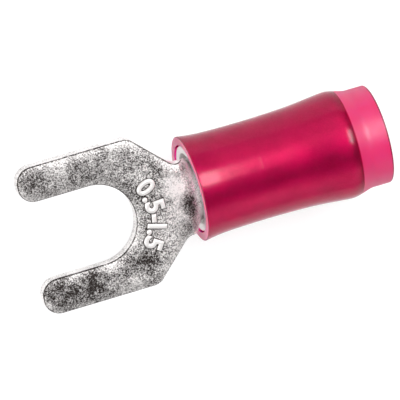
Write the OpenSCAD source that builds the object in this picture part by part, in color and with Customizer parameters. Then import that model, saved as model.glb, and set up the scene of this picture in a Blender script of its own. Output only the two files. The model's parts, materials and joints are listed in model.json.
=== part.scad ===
// Insulated fork terminal for a screw or stud, with its tongue level and its marked face up.
// Three pieces: a stamped fork whose tail is rolled into a wire barrel, a drawn metal grip sleeve
// pressed over that barrel, and a translucent moulded sleeve that insulates both.
// Frame: the stud axis is Z, the middle of the sheet is z = 0, and the wire leaves along +X.

/* [Fork tongue] */
// Width of the slot that takes the stud
slot_w = 4.3; // [3.2:0.1:5.2]
// Width over both tines
fork_w = 8.1; // [7.5:0.1:10]
// Stud centre to the tine tips
tip_reach = 3.65; // [2.6:0.05:6]
// Stud centre to the corner of each shoulder
shoulder_x = 2.6; // [1.8:0.1:3.4]
// Slope of the shoulders, measured from the wire axis
shoulder_angle = 45; // [40:1:60]
// Width of the neck between shoulders and barrel
neck_w = 4; // [3.4:0.1:4.6]
// Thickness of the sheet
stock_t = 0.8; // [0.6:0.05:1]
// Corner radius at the tine tips
tip_r = 0.88; // [0.3:0.02:0.92]
// Corner radius at the shoulders
shoulder_r = 0.6; // [0.3:0.05:1]
// Fillet radius where the shoulders run into the neck
neck_r = 0.6; // [0.3:0.05:0.8]
// Rounding that the punch leaves on the edges of the marked face
edge_r = 0.14; // [0.06:0.02:0.2]

/* [Wire barrel] */
// Bore for the stripped conductor
bore_d = 1.8; // [1.4:0.1:2.2]
// Length of the closed tube
barrel_len = 5.5; // [4:0.1:6]
// Length over which the flat neck is rolled round
roll_len = 0.9; // [0.8:0.1:1.6]
// Gap left at the butted seam
seam_gap = 0.06; // [0.04:0.01:0.12]
// Chamfer at the mouth of the bore
mouth_chamfer = 0.2; // [0.1:0.05:0.4]

/* [Grip sleeve] */
// Wall of the drawn metal sleeve
grip_wall = 0.4; // [0.25:0.05:0.5]
// Length of the metal sleeve
grip_len = 8.65; // [8:0.05:10]
// How far its back end is belled out for the wire's covering
bell = 0.22; // [0.1:0.02:0.3]
// Length over which it is belled
bell_len = 2.3; // [1.6:0.1:2.8]
// Straight land left behind the bell
bell_land = 0.6; // [0.3:0.05:1]

/* [Insulating sleeve] */
// Wall of the moulded sleeve
skin_wall = 0.5; // [0.35:0.05:0.7]
// How far the front of the moulded sleeve lies ahead of the closed tube
skin_lead = 0.2; // [0:0.05:0.3]
// How far the metal sleeve's front edge lies behind it
grip_setback = 0.08; // [0.02:0.02:0.3]
// How far the moulded sleeve runs on behind the metal sleeve
skin_tail = 1.72; // [1.2:0.02:3]
// Length over which it closes in behind the metal sleeve
close_len = 0.75; // [0.5:0.05:1]
// Rise of the flare that both sleeves have at the front
front_flare = 0.2; // [0.1:0.02:0.3]
// Length of that flare
front_flare_len = 1.7; // [1.2:0.1:2.4]
// Front of the moulded sleeve to its waist, where its outside is narrowest
waist_x = 3.5; // [3:0.1:4]
// How far the curve of the waist lifts the outside at the front
waist_rise = 0.11; // [0.06:0.01:0.14]
// Rise of the front lip above that curve
lip = 0.085; // [0.04:0.005:0.12]
// Length of the front lip
lip_len = 1.2; // [0.8:0.1:1.6]
// Rise of the swell over the bell of the metal sleeve, above that curve
swell = 0.055; // [0.04:0.005:0.1]
// Front of the sleeve to the hairline ring round its outside
ring_x = 3.55; // [2.6:0.05:4.6]
// Depth of the hairline ring
ring_depth = 0.03; // [0.01:0.01:0.06]
// Rounding of the sleeve's ends
skin_edge_r = 0.08; // [0.04:0.02:0.14]

/* [Fits] */
// Radial clearance between one piece and the next
fit = 0.025; // [0.01:0.005:0.05]

/* [Hidden] */
$fn = 96;

// Steps in an arc of the outline, in a rounded edge, along the rolled neck and across half of it
arc_steps = 10;
edge_steps = 4;
roll_steps = 12;
width_steps = 12;
// Steps in each curved stretch of a sleeve
curve_steps = 10;
// Over-run of a cutter past the face it cuts
past = 1;
// The rolled neck is round this far ahead of the tube, and its root is let into the tube's wall
root_lead = 0.05;
root_len = 0.4;
root_inset = 0.15;

face_z = stock_t / 2;
barrel_d = bore_d + 2 * stock_t;
axis_z = face_z - barrel_d / 2;
neck_x = shoulder_x + (fork_w - neck_w) / 2 / tan(shoulder_angle);
flat_end_x = neck_x + neck_r * tan(shoulder_angle / 2);
tube_x = flat_end_x + roll_len;
skin_x = tube_x - skin_lead;
grip_ir = barrel_d / 2 + fit;
skin_ir = grip_ir + grip_wall + fit;
skin_or = skin_ir + skin_wall;
grip_end = grip_setback + grip_len;
bell_crown = grip_end - bell_land;
bell_start = bell_crown - bell_len;
close_end = grip_end + close_len;
skin_len = grip_end + skin_tail;

// Points of an arc about c from angle a0 to a1
function arc(c, r, a0, a1, n) = [for (i = [0:n]) let (a = a0 + (a1 - a0) * i / n) c + r * [cos(a), sin(a)]];

// A list from its last item to its first
function turned(list) = [for (k = [len(list) - 1:-1:0]) list[k]];

// A smooth rise from 0 to 1 as u passes from u0 to u1
function rise(u, u0, u1) = let (k = max(0, min(1, (u - u0) / (u1 - u0)))) k * k * (3 - 2 * k);

// Half of the tongue's outline, pulled in by i, from the tip to the end of the flat
function half_outline(i) = concat(
    arc([tip_r - tip_reach, fork_w / 2 - tip_r], tip_r - i, 180, 90, arc_steps),
    arc([shoulder_x - shoulder_r * tan(shoulder_angle / 2), fork_w / 2 - shoulder_r],
        shoulder_r - i, 90, 90 - shoulder_angle, arc_steps),
    arc([flat_end_x, neck_w / 2 + neck_r], neck_r + i, 270 - shoulder_angle, 270, arc_steps)
);

// The whole outline, pulled in by i
function outline(i) = let (half = half_outline(i)) concat(half, [for (q = turned(half)) [q[0], -q[1]]]);

// Pairs of inset and depth down a rounded edge and on to the lower face
edge_drop = concat(
    [for (k = [0:edge_steps]) let (a = 90 * k / edge_steps) edge_r * [1 - sin(a), 1 - cos(a)]],
    [[0, stock_t]]
);

// A closed solid through rings of points that all have the same count
module skin_rings(rings) {
    n = len(rings[0]);
    m = len(rings);
    polyhedron(
        points = [for (ring = rings) each ring],
        faces = concat(
            [[for (j = [0:n - 1]) j]],
            [for (i = [0:m - 2], j = [0:n - 1]) let (k = (j + 1) % n)
                [i * n + j, (i + 1) * n + j, (i + 1) * n + k, i * n + k]],
            [[for (j = [n - 1:-1:0]) (m - 1) * n + j]]
        ),
        convexity = 6
    );
}

// The flat tongue before its slot is punched
module tongue_blank() {
    skin_rings([for (step = edge_drop) [for (q = outline(step[0])) [q[0], q[1], face_z - step[1]]]]);
}

// Section of what stays behind the sheet's edge at x = reach, rounded at the marked face and open above it
module kept_edge(reach) {
    translate([0, -stock_t - past]) square([reach, stock_t + past - edge_r]);
    translate([0, -edge_r]) square([reach - edge_r, edge_r + past]);
    translate([reach - edge_r, -edge_r]) intersection() {
        circle(edge_r);
        square(edge_r);
    }
}

// Section through half of the slot, with the rounding that its punch leaves at the marked face
module half_slot() {
    translate([0, -stock_t - past]) square([slot_w / 2, stock_t + 2 * past]);
    difference() {
        translate([0, -edge_r]) square([slot_w / 2 + edge_r, edge_r + past]);
        translate([slot_w / 2 + edge_r, -edge_r]) circle(edge_r);
    }
}

// What the slot's punch takes away: the round end, the straight run and the rounded mouth
module slot_cutter() {
    mouth_x = tip_r - tip_reach;
    corner_y = slot_w / 2 + tip_r;
    rotate_extrude() half_slot();
    for (side = [0, 1]) mirror([0, side, 0]) {
        translate([mouth_x, 0, 0]) rotate([90, 0, 90]) linear_extrude(-mouth_x) half_slot();
        difference() {
            translate([-tip_reach - past, -past, -stock_t - past])
                cube([2 * tip_r + past, corner_y + past, stock_t + 2 * past]);
            translate([mouth_x, corner_y, 0]) rotate_extrude() kept_edge(tip_r);
            translate([mouth_x, corner_y, 0])
                rotate([90, 0, 90]) linear_extrude(2 * tip_r) mirror([1, 0]) kept_edge(tip_r);
        }
    }
}

// Section of the strip across the neck as [distance from the middle, depth], with rounded upper edges
strip_half = concat(
    [for (k = [0:width_steps - 1]) [(neck_w / 2 - edge_r) * k / width_steps, 0]],
    [for (step = edge_drop) [neck_w / 2 - step[0], step[1]]],
    [for (k = [width_steps - 1:-1:1]) [neck_w / 2 * k / width_steps, stock_t]]
);
strip_section = concat(
    [for (q = strip_half) [-q[0], q[1]]],
    [[0, stock_t]],
    [for (k = [len(strip_half) - 1:-1:1]) strip_half[k]]
);

// A point of the strip once it is rolled to a share k of the barrel's curvature
function rolled(q, k) = let (r = barrel_d / 2 / k, a = q[0] / (r - stock_t / 2) * 180 / PI)
    [(r - q[1]) * sin(a), face_z + (r - q[1]) * cos(a) - r];

// The same point drawn in from both faces and both edges by a distance d
function drawn_in(q, d) = [q[0] * (1 - 2 * d / neck_w), max(d, min(stock_t - d, q[1]))];

// The neck, rolled from flat to half of the tube, with its root let into the tube's wall
module rolled_neck() {
    roll = [for (i = [0:roll_steps]) let (u = i / roll_steps, k = max(0.001, rise(u, 0, 1)))
        [for (q = strip_section) let (p = rolled(q, k))
            [flat_end_x + (roll_len - root_lead) * u, p[0], p[1]]]];
    root = [for (q = strip_section) let (p = rolled(drawn_in(q, root_inset), 1))
        [tube_x + root_len, p[0], p[1]]];
    skin_rings(concat(roll, [root]));
}

// Puts a piece that stands along Z from the origin onto the wire axis
module on_wire_axis(x) {
    translate([x, 0, axis_z]) rotate([0, 90, 0]) children();
}

// The closed tube with its butted seam on the side away from the tongue
module wire_barrel() {
    difference() {
        on_wire_axis(tube_x) cylinder(h = barrel_len, d = barrel_d);
        on_wire_axis(tube_x - past) cylinder(h = barrel_len + 2 * past, d = bore_d);
        on_wire_axis(tube_x + barrel_len - mouth_chamfer)
            cylinder(h = mouth_chamfer, d1 = bore_d, d2 = bore_d + 2 * mouth_chamfer);
        translate([tube_x - past, -seam_gap / 2, axis_z - barrel_d])
            cube([barrel_len + 2 * past, seam_gap, barrel_d]);
    }
}

// The stamped and rolled fork, one piece from tines to barrel
module fork_body() {
    color("silver") {
        difference() {
            tongue_blank();
            translate([0, 0, face_z]) slot_cutter();
        }
        rolled_neck();
        wire_barrel();
    }
}

// How far the front flare lifts a wall at a distance u from the front of the insulation
function flare_at(u) = front_flare * max(0, 1 - u / front_flare_len) ^ 1.25;

// How far the metal sleeve is belled out
function bell_at(u) = bell * rise(u, bell_start, bell_crown);

// How far the bore of the insulation is lifted: it follows the metal and closes in behind it
function lining_at(u) = bell_at(u) - bell * rise(u, grip_end + fit, close_end);

// How far the outside of the insulation stands above its waist
function outside_at(u) = lip * max(0, 1 - u / lip_len) ^ 1.5
    + (waist_rise * ((u - waist_x) / waist_x) ^ 2 + swell * rise(u, bell_start, bell_crown))
        * (1 - rise(u, bell_crown, close_end));

// Stations between u0 and u1 along a sleeve, close together where it is curved
flare_marks = [for (k = [0:curve_steps]) front_flare_len * k / curve_steps];
waist_marks = [for (k = [0:2 * curve_steps - 1]) bell_start * k / (2 * curve_steps)];
bell_marks = [for (k = [0:curve_steps]) bell_start + bell_len * k / curve_steps];
close_marks = [for (k = [1:curve_steps]) bell_crown + (close_end - bell_crown) * k / curve_steps];
function stations(u0, u1, marks) = concat([u0], [for (u = marks) if (u > u0 && u < u1) u], [u1]);

// The drawn metal sleeve: flared at the front, straight over the barrel, belled at the back
module grip_sleeve() {
    inner = [for (u = stations(grip_setback, grip_end, concat(flare_marks, bell_marks)))
        [grip_ir + flare_at(u) + bell_at(u), u]];
    outer = [for (q = turned(inner)) q + [grip_wall, 0]];
    color("gainsboro") on_wire_axis(skin_x) rotate_extrude() polygon(concat(inner, outer));
}

// The moulded sleeve: it follows the metal inside it and closes in behind the metal's end
module insulating_sleeve() {
    e = skin_edge_r;
    inner = [for (u = stations(e, skin_len - e, concat(flare_marks, bell_marks, close_marks)))
        [skin_ir + flare_at(u) + lining_at(u), u]];
    outer = turned([for (u = stations(e, skin_len - e, concat(waist_marks, bell_marks, close_marks)))
        [skin_or + outside_at(u), u]]);
    ring_r = skin_or + outside_at(ring_x);
    back = concat(
        arc(inner[len(inner) - 1] + [e, 0], e, 180, 90, edge_steps),
        arc(outer[0] - [e, 0], e, 90, 0, edge_steps)
    );
    front = concat(
        arc(outer[len(outer) - 1] - [e, 0], e, 0, -90, edge_steps),
        arc(inner[0] + [e, 0], e, -90, -180, edge_steps)
    );
    inner_run = [for (k = [1:len(inner) - 2]) inner[k]];
    outer_run = [for (k = [1:len(outer) - 2]) outer[k]];
    color("crimson") on_wire_axis(skin_x) difference() {
        rotate_extrude() polygon(concat(inner_run, back, outer_run, front));
        translate([0, 0, ring_x]) rotate_extrude()
            polygon([[ring_r - ring_depth, 0], [ring_r + past, -past], [ring_r + past, past]]);
    }
}

fork_body();
grip_sleeve();
insulating_sleeve();
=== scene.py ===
import json
import math

import bmesh
import bpy
from mathutils import Matrix, Vector


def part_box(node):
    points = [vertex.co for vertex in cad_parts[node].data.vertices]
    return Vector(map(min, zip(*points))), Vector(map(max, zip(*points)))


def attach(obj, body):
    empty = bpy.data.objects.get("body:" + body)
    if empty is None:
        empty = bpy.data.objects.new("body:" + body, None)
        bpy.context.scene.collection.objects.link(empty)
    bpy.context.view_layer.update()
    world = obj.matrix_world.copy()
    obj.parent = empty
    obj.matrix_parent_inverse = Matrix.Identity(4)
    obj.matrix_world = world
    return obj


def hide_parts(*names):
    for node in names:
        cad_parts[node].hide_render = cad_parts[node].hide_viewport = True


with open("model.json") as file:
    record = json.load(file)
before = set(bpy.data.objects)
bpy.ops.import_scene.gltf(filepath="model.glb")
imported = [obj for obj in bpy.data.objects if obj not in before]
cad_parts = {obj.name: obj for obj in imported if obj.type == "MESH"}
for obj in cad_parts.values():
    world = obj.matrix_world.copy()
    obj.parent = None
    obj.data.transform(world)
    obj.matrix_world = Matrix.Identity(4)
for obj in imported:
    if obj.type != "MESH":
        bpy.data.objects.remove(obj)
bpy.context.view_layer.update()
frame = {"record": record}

# The fork is one stamping: a forked tongue, a neck and a barrel, cut from copper strip.
# The die rounds the edges of the marked face, the tail is rolled until its edges butt along
# the underside, and the finished piece is tin plated.
mm = 0.001
mounts = {mount["name"]: mount for mount in frame["record"]["mounts"]}
fork_low, fork_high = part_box("fork_body")
face_z = fork_high.z
half_fork = fork_high.y
barrel_r = (fork_high.z - fork_low.z) / 2
axis_z = (fork_high.z + fork_low.z) / 2
slot_r = mounts["stud_slot"]["dims"]["r_mm"] * mm
stock_t = barrel_r - mounts["conductor_bore"]["dims"]["r_mm"] * mm
back_z = face_z - stock_t
half_neck = 2.0 * mm
shoulder_x = 2.6 * mm
tip_r = 0.88 * mm
shoulder_r = 0.72 * mm
neck_r = 0.6 * mm
tail_corner = 0.06 * mm
ear_r = 0.7 * mm
die_r = 0.14 * mm
die_rings = 5
crown_w = 0.54 * mm
crown_drop = 0.085 * mm
crown_rings = 8
burr_r = 0.03 * mm
burr_angle = 1.0
roll_len = 0.9 * mm
roll_cuts = 12
width_cuts = 72
least_roll = 1e-6
seam_gap = 0.06 * mm
merge_within = 1e-7
cut_snap = 1e-8
crease = math.radians(35)
tangent_45 = math.tan(math.radians(45) / 2)
neck_x = shoulder_x + half_fork - half_neck
flat_end_x = neck_x + neck_r * tangent_45
barrel_x = flat_end_x + roll_len
half_strip = math.pi * (barrel_r - stock_t / 2) - seam_gap / 2


def rise(u, u0, u1):
    k = max(0.0, min(1.0, (u - u0) / (u1 - u0)))
    return k * k * (3 - 2 * k)


def add_piece(name, bm, materials, node=None):
    for edge in bm.edges:
        edge.smooth = len(edge.link_faces) == 2 and edge.calc_face_angle() < crease
    for face in bm.faces:
        face.smooth = True
    mesh = bpy.data.meshes.new(name)
    bm.to_mesh(mesh)
    bm.free()
    for material in materials:
        mesh.materials.append(material)
    piece = bpy.data.objects.new(name, mesh)
    bpy.context.scene.collection.objects.link(piece)
    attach(piece, "root")
    if node:
        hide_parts(node)
    return piece


# Corner points of half of the flat blank, each with its rounding's tangent length and segments
half_blank = [
    (slot_r, slot_r, slot_r, 32),
    (fork_low.x, slot_r, tip_r, 14),
    (fork_low.x, half_fork, tip_r, 14),
    (shoulder_x, half_fork, shoulder_r * tangent_45, 8),
    (neck_x, half_neck, neck_r * tangent_45, 8),
    (barrel_x, half_neck, tail_corner, 4),
    (barrel_x, half_strip, ear_r, 8),
    (fork_high.x, half_strip, ear_r, 8),
]
blank = half_blank + [(x, -y, tangent, count) for x, y, tangent, count in reversed(half_blank)]

# Going inwards from the edge, the marked face has the die's round and then a soft crown
edge_slope = math.atan(2 * crown_drop / crown_w)
edge_rings = []
for k in range(1, die_rings + 1):
    slope = math.pi / 2 + (edge_slope - math.pi / 2) * k / die_rings
    edge_rings.append((die_r * (1 - math.sin(slope)), die_r * math.cos(slope)))
arc_in, arc_up = edge_rings[-1]
for k in range(1, crown_rings + 1):
    share = k / crown_rings
    edge_rings.append((arc_in + crown_w * share, arc_up + crown_drop * (1 - (1 - share) ** 2)))

bm = bmesh.new()
corners = [bm.verts.new((x, y, face_z - arc_up - crown_drop)) for x, y, _, _ in blank]
bm.faces.new(reversed(corners))
for corner, (_, _, tangent, segments) in zip(corners, blank):
    bmesh.ops.bevel(
        bm, geom=[corner], offset=tangent, offset_type="ABSOLUTE", segments=segments,
        profile=0.5, affect="VERTICES", material=-1, clamp_overlap=False,
    )
bmesh.ops.remove_doubles(bm, verts=bm.verts[:], dist=merge_within)
face_core = bm.faces[:]
inward = upward = 0
for ring_in, ring_up in edge_rings:
    bmesh.ops.inset_region(
        bm, faces=face_core, thickness=ring_in - inward, depth=ring_up - upward,
        use_even_offset=True, use_boundary=True,
    )
    inward, upward = ring_in, ring_up

# The tail is divided along the neck and across its width, so that it can be rolled
for k in range(roll_cuts + 1):
    bmesh.ops.bisect_plane(
        bm, geom=bm.verts[:] + bm.edges[:] + bm.faces[:], dist=cut_snap,
        plane_co=(flat_end_x + roll_len * k / roll_cuts, 0, 0), plane_no=(1, 0, 0),
    )
for k in range(1, width_cuts):
    tail = [f for f in bm.faces if f.calc_center_median().x > flat_end_x]
    geom = set(tail) | {e for f in tail for e in f.edges} | {v for f in tail for v in f.verts}
    bmesh.ops.bisect_plane(
        bm, geom=list(geom), dist=cut_snap,
        plane_co=(0, half_strip * (2 * k / width_cuts - 1), 0), plane_no=(0, 1, 0),
    )

# The sheet gets its thickness, and the burr round its back is broken
extruded = bmesh.ops.extrude_face_region(bm, geom=bm.faces[:])["geom"]
for item in extruded:
    if isinstance(item, bmesh.types.BMVert):
        item.co.z = back_z
bmesh.ops.recalc_face_normals(bm, faces=bm.faces[:])
burr = []
for edge in bm.edges:
    on_back = all(vert.co.z < back_z + cut_snap for vert in edge.verts)
    if on_back and edge.calc_face_angle(0) > burr_angle:
        burr.append(edge)
bmesh.ops.bevel(
    bm, geom=burr, offset=burr_r, offset_type="OFFSET", segments=2,
    profile=0.5, affect="EDGES", material=-1, clamp_overlap=False,
)

# How far each point is from the face to the cut wall is kept for the plating, then the tail is rolled
edge_share = bm.verts.layers.float.new("edge_share")
for vert in bm.verts:
    vert[edge_share] = min(1.0, (face_z - vert.co.z) / (crown_drop + arc_up))
for vert in bm.verts:
    share = rise(vert.co.x, flat_end_x, barrel_x)
    if share > least_roll:
        radius = barrel_r / share
        depth = face_z - vert.co.z
        turn = vert.co.y / (radius - stock_t / 2)
        vert.co.y = (radius - depth) * math.sin(turn)
        vert.co.z = face_z + (radius - depth) * math.cos(turn) - radius
bmesh.ops.recalc_face_normals(bm, faces=bm.faces[:])


def new_material(name):
    material = bpy.data.materials.new(name)
    material.use_nodes = True
    nodes = material.node_tree.nodes
    return material, nodes, material.node_tree.links, nodes["Principled BSDF"]


def new_group(name, given_names, put_out_types):
    group = bpy.data.node_groups.new(name, "ShaderNodeTree")
    for given_name in given_names:
        group.interface.new_socket(given_name, in_out="INPUT", socket_type="NodeSocketFloat")
    for put_out_name, kind in put_out_types.items():
        group.interface.new_socket(put_out_name, in_out="OUTPUT", socket_type=kind)
    given = group.nodes.new("NodeGroupInput").outputs
    put_out = group.nodes.new("NodeGroupOutput").inputs
    return group, group.nodes, group.links, given, put_out


def feed(links, socket, value):
    if isinstance(value, (int, float)):
        socket.default_value = value
    else:
        links.new(value, socket)


def math_node(nodes, links, operation, *inputs):
    node = nodes.new("ShaderNodeMath")
    node.operation = operation
    for socket, value in zip(node.inputs, inputs):
        feed(links, socket, value)
    return node.outputs[0]


def map_range(nodes, links, value, low, high, at_low, at_high):
    node = nodes.new("ShaderNodeMapRange")
    node.interpolation_type = "SMOOTHSTEP"
    node.inputs["From Min"].default_value = low
    node.inputs["From Max"].default_value = high
    node.inputs["To Min"].default_value = at_low
    node.inputs["To Max"].default_value = at_high
    links.new(value, node.inputs["Value"])
    return node.outputs[0]


def noise(nodes, links, place, scale, detail, roughness=0.5):
    texture = nodes.new("ShaderNodeTexNoise")
    texture.inputs["Scale"].default_value = scale
    texture.inputs["Detail"].default_value = detail
    texture.inputs["Roughness"].default_value = roughness
    links.new(place, texture.inputs["Vector"])
    return texture.outputs["Fac"]


def bump(nodes, links, height, distance):
    node = nodes.new("ShaderNodeBump")
    node.inputs["Distance"].default_value = distance
    links.new(height, node.inputs["Height"])
    return node


# Grain of matt tin: fine crystals in drifting patches, from near black to white, a little warm
plating, nodes, links, given, put_out = new_group(
    "tin grain",
    ("Tone", "Crystals", "Patches"),
    {"Colour": "NodeSocketColor", "Height": "NodeSocketFloat"},
)
place = nodes.new("ShaderNodeTexCoord").outputs["Object"]
fine = noise(nodes, links, place, scale=13500, detail=3, roughness=0.62)
broad = noise(nodes, links, place, scale=750, detail=7, roughness=0.7)
tone = given["Tone"]
for texture, gain in ((fine, given["Crystals"]), (broad, given["Patches"])):
    swing = math_node(nodes, links, "SUBTRACT", texture, 0.5)
    tone = math_node(nodes, links, "MULTIPLY_ADD", swing, gain, tone)
ramp = nodes.new("ShaderNodeValToRGB")
dark_tin, bright_tin = ramp.color_ramp.elements
dark_tin.position = 0.1
dark_tin.color = (0.035, 0.027, 0.025, 1)
bright_tin.position = 0.85
bright_tin.color = (1, 0.965, 0.955, 1)
links.new(tone, ramp.inputs["Fac"])
links.new(ramp.outputs["Color"], put_out["Colour"])
links.new(tone, put_out["Height"])


def tin_grain(nodes, links, shader, tone, crystals, patches, relief):
    grain = nodes.new("ShaderNodeGroup")
    grain.node_tree = plating
    feed(links, grain.inputs["Tone"], tone)
    feed(links, grain.inputs["Crystals"], crystals)
    feed(links, grain.inputs["Patches"], patches)
    rough_skin = bump(nodes, links, grain.outputs["Height"], relief).outputs["Normal"]
    links.new(rough_skin, shader.inputs["Normal"])
    links.new(grain.outputs["Colour"], shader.inputs["Base Color"])
    return rough_skin


# The plating is dull on the lower tine, at the tips and beside the slot, and bright on the cut walls.
# Painted highlights lighten the rounded edges and the neck, a painted dark line follows each edge's
# round, painted shade darkens the neck where it enters the sleeve, and painted light lifts the barrel
# in the sleeve's mouth.
tin, nodes, links, shader = new_material("tin plate")
place = nodes.new("ShaderNodeTexCoord").outputs["Object"]
axes = nodes.new("ShaderNodeSeparateXYZ")
links.new(place, axes.inputs[0])
place_x, place_y = axes.outputs["X"], axes.outputs["Y"]
edge = nodes.new("ShaderNodeAttribute")
edge.attribute_name = "edge_share"
to_wall = edge.outputs["Fac"]


def spot(x, y, radius, strength):
    away = nodes.new("ShaderNodeVectorMath")
    away.operation = "DISTANCE"
    away.inputs[1].default_value = (x, y, face_z)
    links.new(place, away.inputs[0])
    return map_range(nodes, links, away.outputs["Value"], 0, radius, strength, 0)


tine_tone = map_range(nodes, links, place_y, -1.2 * mm, -2.8 * mm, 0.4, 0.31)
tips = map_range(nodes, links, place_x, -1.0 * mm, -3.4 * mm, 0, -0.12)
root = map_range(nodes, links, place_x, 1.5 * mm, 3.5 * mm, 0, 0.07)
# Painted light: the barrel in the sleeve's mouth is lightened where the sleeve shades it
painted_mouth_light = map_range(nodes, links, place_x, 5.1 * mm, 5.6 * mm, 0, 0.4)
# Painted highlight: a light spot on the neck where it curls toward the sleeve
painted_neck_highlight = spot(4.6 * mm, 0.7 * mm, 1.1 * mm, 0.34)
# Painted shade: a dark patch where the neck enters the sleeve
painted_mouth_shade = spot(5.2 * mm, -0.3 * mm, 1.0 * mm, -0.42)
slot_side = spot(1.2 * mm, 0, 2.3 * mm, -0.34)
shoulder = spot(2.2 * mm, -2.6 * mm, 1.6 * mm, -0.16)
# Painted highlight: the rounded edges of the marked face are lighter
painted_edge_highlight = map_range(nodes, links, to_wall, 0, 0.4, 0, 0.18)
# Painted shade: a dark line along the die's round at every edge
painted_edge_line_shade = map_range(nodes, links, to_wall, 0.45, 0.6, 0, -0.55)
wall = map_range(nodes, links, to_wall, 0.7, 0.95, 0, 0.8)
tone = tine_tone
for share in (tips, root, painted_neck_highlight, painted_mouth_shade, slot_side, shoulder, painted_mouth_light, painted_edge_highlight, painted_edge_line_shade, wall):
    tone = math_node(nodes, links, "ADD", tone, share)
tine_patches = map_range(nodes, links, place_y, -1.2 * mm, -2.8 * mm, 1.35, 2.6)
root_patches = map_range(nodes, links, place_x, 2.0 * mm, 4.0 * mm, 0, 0.4)
patches = math_node(nodes, links, "ADD", tine_patches, root_patches)
root_crystals = map_range(nodes, links, place_x, 1.5 * mm, 2.8 * mm, 2.4, 3.1)
neck_crystals = map_range(nodes, links, place_x, 3.4 * mm, 4.6 * mm, 0, -1.6)
crystals = math_node(nodes, links, "ADD", root_crystals, neck_crystals)
tin_grain(nodes, links, shader, tone, crystals, patches, relief=0.012 * mm)
wall_gloss = map_range(nodes, links, to_wall, 0.5, 0.9, 0.55, 0.3)
links.new(wall_gloss, shader.inputs["Roughness"])
barrel_dull = map_range(nodes, links, place_x, 4.9 * mm, 5.5 * mm, 0.75, 0.25)
links.new(barrel_dull, shader.inputs["Metallic"])

fork = add_piece("fork", bm, [tin], "fork_body")
weighted = fork.modifiers.new("flat faces stay flat", "WEIGHTED_NORMAL")
weighted.keep_sharp = True

# The size marking is raised from the tongue by the die, in an arc round the slot with the
# feet of the characters towards the stud. It is a plain wire range, rubbed bright by the die.
mark_text = "0.5-1.5"
mark_r = 3.25 * mm
mark_mid = math.radians(-4.5)
mark_height = 1.0 * mm
digit_share = 0.73
mark_relief = 0.12 * mm
mark_round = 0.09 * mm
mark_thinned = 0.03 * mm
mark_gap = 0.04 * mm
mark_spacing = mark_gap + 2 * mark_round


def raised(outset, relief, rounding):
    bm = bmesh.new()
    glyphs = []
    for character in mark_text:
        text = bpy.data.curves.new("character", "FONT")
        text.body = character
        text.size = mark_height / digit_share
        text.offset = outset
        text.extrude = relief - rounding
        text.bevel_depth = rounding
        text.bevel_resolution = 3
        text.resolution_u = 6
        holder = bpy.data.objects.new("character", text)
        glyph = bpy.data.meshes.new_from_object(holder)
        bpy.data.objects.remove(holder)
        xs = [v.co.x for v in glyph.vertices]
        glyphs.append((glyph, min(xs) + outset + rounding, max(xs) - outset - rounding))
    total = sum(right - left for _, left, right in glyphs) + mark_spacing * (len(glyphs) - 1)
    along = -total / 2
    for glyph, left, right in glyphs:
        angle = mark_mid - (along + (right - left) / 2) / mark_r
        glyph.transform(
            Matrix.Translation((0, 0, face_z))
            @ Matrix.Rotation(angle - math.pi / 2, 4, "Z")
            @ Matrix.Translation((-(left + right) / 2, mark_r - mark_height / 2, 0))
        )
        bm.from_mesh(glyph)
        along += right - left + mark_spacing
    bmesh.ops.remove_doubles(bm, verts=bm.verts[:], dist=merge_within)
    return bm


burnished, nodes, links, shader = new_material("burnished tin")
tin_grain(nodes, links, shader, tone=0.9, crystals=0.9, patches=0.7, relief=0.005 * mm)
shader.inputs["Metallic"].default_value = 0.5
shader.inputs["Roughness"].default_value = 0.4
bm = raised(-mark_thinned, mark_relief, mark_round)
add_piece("size_marking", bm, [burnished])

# A fine dark line runs round each character: painted shade where the raised characters meet the
# tongue.
# It is the same range drawn wider and almost flat, on the tongue under the raised one.
line_outset = 0.11 * mm
line_relief = 0.008 * mm
painted_outline_shade, nodes, links, shader = new_material("painted outline shade")
tin_grain(nodes, links, shader, tone=0.1, crystals=1.6, patches=1.4, relief=0.003 * mm)
shader.inputs["Metallic"].default_value = 0.8
shader.inputs["Roughness"].default_value = 0.5
bm = raised(line_outset, line_relief, 0)
add_piece("painted_shade_outline", bm, [painted_outline_shade])

# The metal sleeve is drawn from thin tinned copper and pressed over the barrel. It flares at
# the front and is belled at the back, where it is crimped on the wire's insulation.
grip_low, grip_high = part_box("grip_sleeve")
skin_low, skin_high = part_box("insulating_sleeve")
fit = 0.025 * mm
grip_wall = 0.4 * mm
grip_edge_r = 0.05 * mm
flare = 0.2 * mm
flare_len = 1.7 * mm
flare_curve = 1.25
bell = 0.22 * mm
bell_len = 2.3 * mm
bell_tail = 0.6 * mm
bell_crown = grip_high.x - bell_tail
bell_start = bell_crown - bell_len
grip_ir = barrel_r + fit


def flare_at(x):
    return flare * max(0.0, 1 - (x - skin_low.x) / flare_len) ** flare_curve


def stations(x0, x1, count):
    return [x0 + (x1 - x0) * k / count for k in range(count + 1)]


def turned_piece(inner, outer, edge_r, segments):
    bm = bmesh.new()
    ring = [bm.verts.new((x, 0, axis_z + r)) for x, r in inner + outer[::-1]]
    bm.faces.new(ring)
    ends = [ring[0], ring[len(inner) - 1], ring[len(inner)], ring[-1]]
    bmesh.ops.bevel(
        bm, geom=ends, offset=edge_r, offset_type="ABSOLUTE", segments=5, profile=0.5,
        affect="VERTICES", material=-1, clamp_overlap=False,
    )
    bmesh.ops.delete(bm, geom=bm.faces[:], context="FACES_ONLY")
    bmesh.ops.spin(
        bm, geom=bm.verts[:] + bm.edges[:], cent=(0, 0, axis_z), axis=(1, 0, 0),
        angle=2 * math.pi, steps=segments, use_merge=True,
    )
    bmesh.ops.remove_doubles(bm, verts=bm.verts[:], dist=merge_within)
    bmesh.ops.recalc_face_normals(bm, faces=bm.faces[:])
    return bm


def grip_inner(x):
    return grip_ir + flare_at(x) + bell * rise(x, bell_start, bell_crown)


xs = stations(grip_low.x, grip_high.x, 90)
inner = [(x, grip_inner(x)) for x in xs]
outer = [(x, grip_inner(x) + grip_wall) for x in xs]
bm = turned_piece(inner, outer, grip_edge_r, segments=160)

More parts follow.
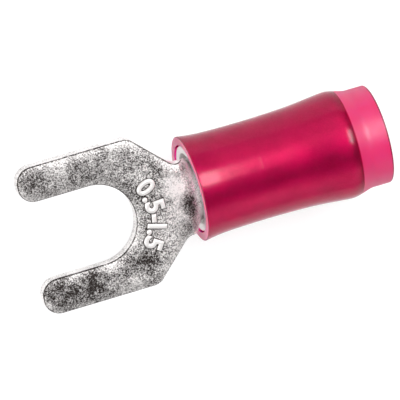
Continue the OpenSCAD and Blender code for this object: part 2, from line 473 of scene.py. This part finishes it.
# Drawing leaves faint rings along the wall, under the grain of the tin
sleeve_metal, nodes, links, shader = new_material("tinned sleeve")
shader.inputs["Metallic"].default_value = 1.0
shader.inputs["Roughness"].default_value = 0.52
rough_skin = tin_grain(nodes, links, shader, tone=0.64, crystals=0.35, patches=0.3, relief=0.002 * mm)
stretch = nodes.new("ShaderNodeMapping")
stretch.inputs["Scale"].default_value = (1, 0.06, 0.06)
links.new(nodes.new("ShaderNodeTexCoord").outputs["Object"], stretch.inputs["Vector"])
rings = noise(nodes, links, stretch.outputs["Vector"], scale=900, detail=2)
drawn = bump(nodes, links, rings, 0.03 * mm)
links.new(rough_skin, drawn.inputs["Normal"])
links.new(drawn.outputs["Normal"], shader.inputs["Normal"])
add_piece("metal_sleeve", bm, [sleeve_metal], "grip_sleeve")

# The insulation is a moulded sleeve of clear red nylon. It follows the metal sleeve inside it,
# swells over the bell and closes in to the collar where the wire enters. A hairline groove
# runs round the front half.
skin_ir = grip_ir + grip_wall + fit
skin_wall = 0.5 * mm
skin_edge_r = 0.08 * mm
waist_x = skin_low.x + 3.5 * mm
waist_rise = 0.11 * mm
lip = 0.085 * mm
lip_len = 1.2 * mm
lip_curve = 1.5
swell = 0.055 * mm
close_x = grip_high.x + 0.75 * mm
groove_x = skin_low.x + 3.55 * mm
groove_reach = 0.05 * mm
groove_slope = 0.3


def skin_inner(x):
    lining = rise(x, bell_start, bell_crown) - rise(x, grip_high.x + fit, close_x)
    return skin_ir + flare_at(x) + bell * lining


def skin_outer(x):
    front = lip * max(0.0, 1 - (x - skin_low.x) / lip_len) ** lip_curve
    waist = waist_rise * ((x - waist_x) / (waist_x - skin_low.x)) ** 2
    bulge = swell * rise(x, bell_start, bell_crown)
    closing = 1 - rise(x, bell_crown, close_x)
    groove = groove_slope * max(0.0, groove_reach - abs(x - groove_x))
    return skin_ir + skin_wall + front + (waist + bulge) * closing - groove


xs = stations(skin_low.x, skin_high.x, 120)
outer_xs = sorted(xs + [groove_x - groove_reach, groove_x, groove_x + groove_reach])
inner = [(x, skin_inner(x)) for x in xs]
outer = [(x, skin_outer(x)) for x in outer_xs]
bm = turned_piece(inner, outer, skin_edge_r, segments=192)

# The mould leaves faint waves, which vary the gloss a little too
moulding, nodes, links, given, put_out = new_group(
    "moulding waves", ("Dull",), {"Height": "NodeSocketFloat", "Roughness": "NodeSocketFloat"}
)
place = nodes.new("ShaderNodeTexCoord").outputs["Object"]
waves = noise(nodes, links, place, scale=1100, detail=3)
links.new(waves, put_out["Height"])
gloss = map_range(nodes, links, waves, 0.3, 0.7, 0.9, 1.1)
links.new(math_node(nodes, links, "MULTIPLY", gloss, given["Dull"]), put_out["Roughness"])


def nylon_material(name, colour, clear, bending, dull):
    material, nodes, links, shader = new_material(name)
    shader.inputs["Base Color"].default_value = colour
    shader.inputs["IOR"].default_value = bending
    shader.inputs["Transmission Weight"].default_value = clear
    shader.inputs["Subsurface Weight"].default_value = 1.0
    shader.inputs["Subsurface Radius"].default_value = (1.0, 0.15, 0.3)
    shader.inputs["Subsurface Scale"].default_value = 0.6 * mm
    surface = nodes.new("ShaderNodeGroup")
    surface.node_tree = moulding
    surface.inputs["Dull"].default_value = dull
    links.new(surface.outputs["Roughness"], shader.inputs["Roughness"])
    wavy = bump(nodes, links, surface.outputs["Height"], 0.006 * mm)
    links.new(wavy.outputs["Normal"], shader.inputs["Normal"])
    return material


# Over the metal the nylon is clear, and its inner wall clings to the metal, so light passes that
# wall unbent. The collar is milky. The cut front end is less clear, and its paler pink is painted
# light for the glow through the wall. The rounded rims of both ends are darkened with painted shade.
clear_red = (0.74, 0.035, 0.265, 1)
collar_red = (0.78, 0.025, 0.19, 1)
# Painted light: the cut end's paler pink stands in for light glowing through the wall
painted_glow_pink = (1.0, 0.26, 0.42, 1)
# Painted shade: the dark red of the rounded rims at both ends
rim_shade_red = (0.3, 0.004, 0.05, 1)
nylons = [
    nylon_material("red nylon", clear_red, clear=0.97, bending=1.26, dull=0.19),
    nylon_material("red nylon collar", collar_red, clear=0.3, bending=1.62, dull=0.45),
    nylon_material("red nylon cut end", painted_glow_pink, clear=0.15, bending=1.5, dull=0.5),
    nylon_material("red nylon clinging", clear_red, clear=1.0, bending=1.0, dull=0.19),
    nylon_material("red nylon rim shade", rim_shade_red, clear=0.3, bending=1.5, dull=0.35),
]
collar, cut_end, clinging, rim = range(1, len(nylons))
cut_facing = -0.9
rim_facing = -0.3
back_rim_x = skin_high.x - 0.1 * mm
skin = add_piece("insulation", bm, nylons, "insulating_sleeve")
for face in skin.data.polygons:
    outward = face.normal.y * face.center.y + face.normal.z * (face.center.z - axis_z)
    if face.normal.x < cut_facing:
        face.material_index = cut_end
    elif outward > 0 and (face.normal.x < rim_facing or face.center.x > back_rim_x):
        face.material_index = rim
    elif face.center.x > grip_high.x:
        face.material_index = collar
    elif outward < 0:
        face.material_index = clinging

# The floor is a plain white sheet, and the terminal lies on it with its insulation. It shines
# for the eye, in the metal and through the nylon, and otherwise only returns the lamps' light.
floor_half = 0.6
floor_grey = (0.3, 0.3, 0.3, 1)
floor_glow = 0.78
bm = bmesh.new()
bmesh.ops.create_grid(
    bm, x_segments=1, y_segments=1, size=floor_half, matrix=Matrix.Translation((0, 0, skin_low.z))
)
floor_mesh = bpy.data.meshes.new("floor")
bm.to_mesh(floor_mesh)
bm.free()
floor = bpy.data.objects.new("floor", floor_mesh)
bpy.context.scene.collection.objects.link(floor)
floor_white, nodes, links, shader = new_material("floor white")
shader.inputs["Base Color"].default_value = floor_grey
shader.inputs["Roughness"].default_value = 0.9
shader.inputs["Emission Color"].default_value = (1, 1, 1, 1)
path = nodes.new("ShaderNodeLightPath").outputs
seen = math_node(nodes, links, "MAXIMUM", path["Is Camera Ray"], path["Is Glossy Ray"])
seen = math_node(nodes, links, "MAXIMUM", seen, path["Is Transmission Ray"])
links.new(math_node(nodes, links, "MULTIPLY", seen, floor_glow), shader.inputs["Emission Strength"])
floor_mesh.materials.append(floor_white)

# The camera looks down on the marked face, a little from the tines' end and from one side,
# with a long lens. The point it aims at has its own place in the picture.
aim = Vector((6.2, 0, -0.8)) * mm
to_camera = Vector((-0.2067, 0.2807, 0.9373)).normalized()
picture_roll = math.radians(16.535)
picture_px = 400
px_per_mm = 19.14
distance = 476 * mm
aim_px = (203.2, 187.86)
level = (Vector((1, 0, 0)) - to_camera.x * to_camera).normalized()
rising = to_camera.cross(level)
right = level * math.cos(picture_roll) - rising * math.sin(picture_roll)
up = level * math.sin(picture_roll) + rising * math.cos(picture_roll)
shift_right = (picture_px / 2 - aim_px[0]) / px_per_mm * mm
shift_up = (aim_px[1] - picture_px / 2) / px_per_mm * mm
camera_data = bpy.data.cameras.new("camera")
camera_data.sensor_width = 36
camera_data.lens = camera_data.sensor_width * px_per_mm * distance / mm / picture_px
camera_data.clip_start = 0.01
camera = bpy.data.objects.new("camera", camera_data)
camera.matrix_world = Matrix.Translation(
    aim + shift_right * right + shift_up * up + distance * to_camera
) @ Matrix((right, up, to_camera)).transposed().to_4x4()
bpy.context.scene.collection.objects.link(camera)
bpy.context.scene.camera = camera

# Four soft boxes stand round the terminal at one distance, each with two edges in line with the
# wire's axis as seen from the terminal. The room is a dim grey.
box_reach = 0.45
room_strength = 0.1


def soft_box(name, line, along, across, radiance):
    line = Vector(line).normalized()
    side = (Vector((1, 0, 0)) - line.x * line).normalized()
    lamp_data = bpy.data.lights.new(name, "AREA")
    lamp_data.shape = "RECTANGLE"
    lamp_data.size = along
    lamp_data.size_y = across
    lamp_data.energy = radiance * math.pi * along * across
    lamp = bpy.data.objects.new(name, lamp_data)
    lamp.matrix_world = Matrix.Translation(aim + box_reach * line) @ Matrix(
        (side, line.cross(side), line)
    ).transposed().to_4x4()
    bpy.context.scene.collection.objects.link(lamp)
    return lamp


soft_box("key", line=(0.43, 0.41, 0.80), along=0.125, across=0.21, radiance=19.5)
wing = soft_box("wing", line=(0.1, 0.86, 0.5), along=0.34, across=0.50, radiance=2.0)
low = soft_box("low", line=(0.2, -0.90, 0.38), along=0.40, across=0.34, radiance=2.5)
soft_box("left", line=(-0.88, 0.12, 0.46), along=0.30, across=0.30, radiance=5.5)
# The two side boxes give light without a highlight, so that the nylon doesn't hide the metal in it
wing.visible_glossy = False
low.visible_glossy = False
world = bpy.data.worlds.new("room")
world.use_nodes = True
background = world.node_tree.nodes["Background"]
background.inputs["Color"].default_value = (1, 1, 1, 1)
background.inputs["Strength"].default_value = room_strength
bpy.context.scene.world = world

bpy.context.scene.view_settings.view_transform = "Standard"
